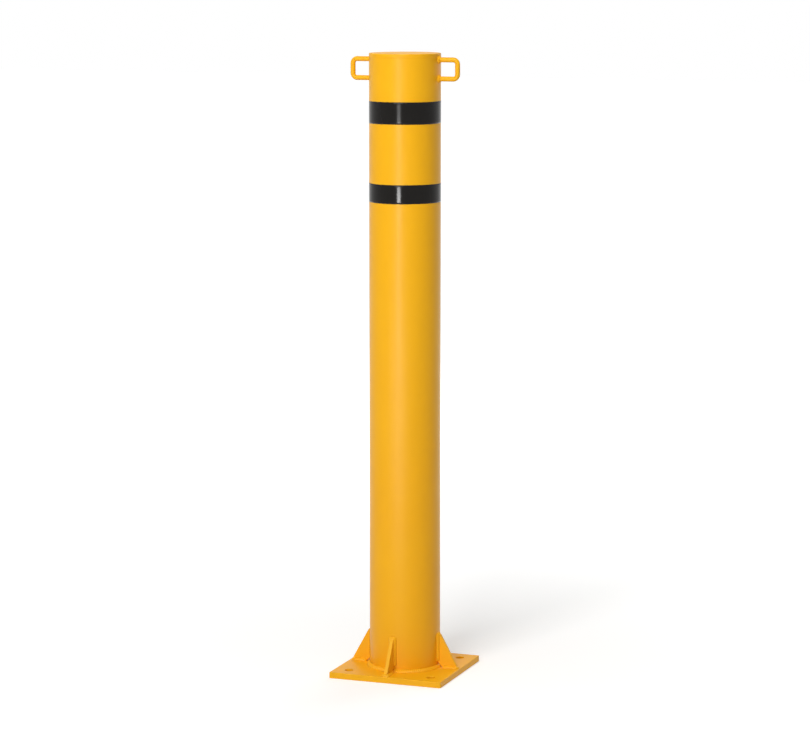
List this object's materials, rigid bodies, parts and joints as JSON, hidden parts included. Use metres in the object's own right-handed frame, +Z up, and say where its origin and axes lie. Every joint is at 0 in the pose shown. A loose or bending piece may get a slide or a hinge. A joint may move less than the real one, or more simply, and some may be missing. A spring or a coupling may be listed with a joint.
{
  "type": "fixed steel bollard",
  "caption": "Round yellow steel bollard with black bands and a flat top, a bent bar eye on each side under it, on a square anchored foot plate with gussets.",
  "frame": {"origin": "middle of the foot plate's underside, on the ground", "axes": "+Z up along the post, +X towards the right eye, -Y towards the front"},
  "size_m": [0.1904, 0.1904, 1],
  "materials": {
    "yellow_paint": "glossy baked powder coat on steel, with slight orange peel",
    "black_tape": "glossy black vinyl tape"
  },
  "bodies": {
    "root": {"post_tube": "yellow_paint", "top_cap": "yellow_paint", "cap_weld": "yellow_paint", "base_plate": "yellow_paint", "foot_weld": "yellow_paint", "gusset_front": "yellow_paint", "gusset_front_plate_weld": "yellow_paint", "gusset_front_tube_weld": "yellow_paint", "gusset_right": "yellow_paint", "gusset_right_plate_weld": "yellow_paint", "gusset_right_tube_weld": "yellow_paint", "gusset_back": "yellow_paint", "gusset_back_plate_weld": "yellow_paint", "gusset_back_tube_weld": "yellow_paint", "gusset_left": "yellow_paint", "gusset_left_plate_weld": "yellow_paint", "gusset_left_tube_weld": "yellow_paint", "side_eyes": "yellow_paint", "side_eye_welds": "yellow_paint", "upper_tape_band": "black_tape", "lower_tape_band": "black_tape"}
  },
  "joints": []
}
